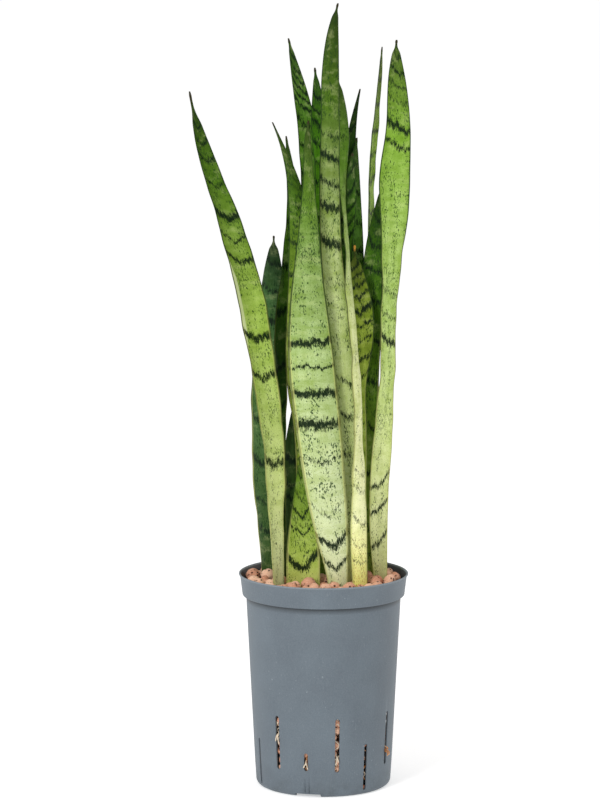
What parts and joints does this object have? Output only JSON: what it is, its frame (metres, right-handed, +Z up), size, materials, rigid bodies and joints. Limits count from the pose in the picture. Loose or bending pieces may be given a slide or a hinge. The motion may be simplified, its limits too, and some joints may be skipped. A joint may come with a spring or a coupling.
{
  "type": "potted snake plant",
  "caption": "Upright snake plant with banded sword-shaped leaves, growing in clay granulate in a round slotted plastic pot.",
  "frame": {"origin": "centre of the flat pad in the middle of the pot's underside, on the surface that the pot stands on", "axes": "+Z up along the pot's axis, -Y towards the front, +X to the right seen from the front"},
  "size_m": [0.1927, 0.15, 0.692],
  "materials": {
    "pot_plastic": "satin, finely grained",
    "leaf": "smooth and waxy, with dark bands",
    "clay": "matt, porous",
    "rhizome": "matt, fibrous",
    "root": "matt, fibrous"
  },
  "bodies": {
    "root": {"clay_granulate": "clay", "clay_pebble_01": "clay", "clay_pebble_02": "clay", "clay_pebble_03": "clay", "clay_pebble_04": "clay", "clay_pebble_05": "clay", "clay_pebble_06": "clay", "clay_pebble_07": "clay", "clay_pebble_08": "clay", "clay_pebble_09": "clay", "clay_pebble_10": "clay", "clay_pebble_11": "clay", "clay_pebble_12": "clay", "clay_pebble_13": "clay", "clay_pebble_14": "clay", "clay_pebble_15": "clay", "clay_pebble_16": "clay", "clay_pebble_17": "clay", "clay_pebble_18": "clay", "clay_pebble_19": "clay", "clay_pebble_20": "clay", "clay_pebble_21": "clay", "clay_pebble_22": "clay", "clay_pebble_23": "clay", "clay_pebble_24": "clay", "clay_pebble_25": "clay", "leaf_back_narrow": "leaf", "leaf_back_right": "leaf", "leaf_curved_tip": "leaf", "leaf_far_left": "leaf", "leaf_front_broad": "leaf", "leaf_front_twisted": "leaf", "leaf_left_back": "leaf", "leaf_left_dark": "leaf", "leaf_left_short": "leaf", "leaf_low_front": "leaf", "leaf_mid": "leaf", "leaf_mid_left": "leaf", "leaf_mid_right": "leaf", "leaf_right_dark": "leaf", "leaf_right_tall": "leaf", "leaf_right_thin": "leaf", "leaf_short_broad": "leaf", "leaf_tallest": "leaf", "pot_base": "pot_plastic", "pot_wall": "pot_plastic", "rhizome_far_right": "rhizome", "rhizome_front": "rhizome", "rhizome_left": "rhizome", "rhizome_right": "rhizome", "root_front": "root", "root_front_left": "root", "root_left": "root", "root_right": "root"}
  },
  "joints": []
}
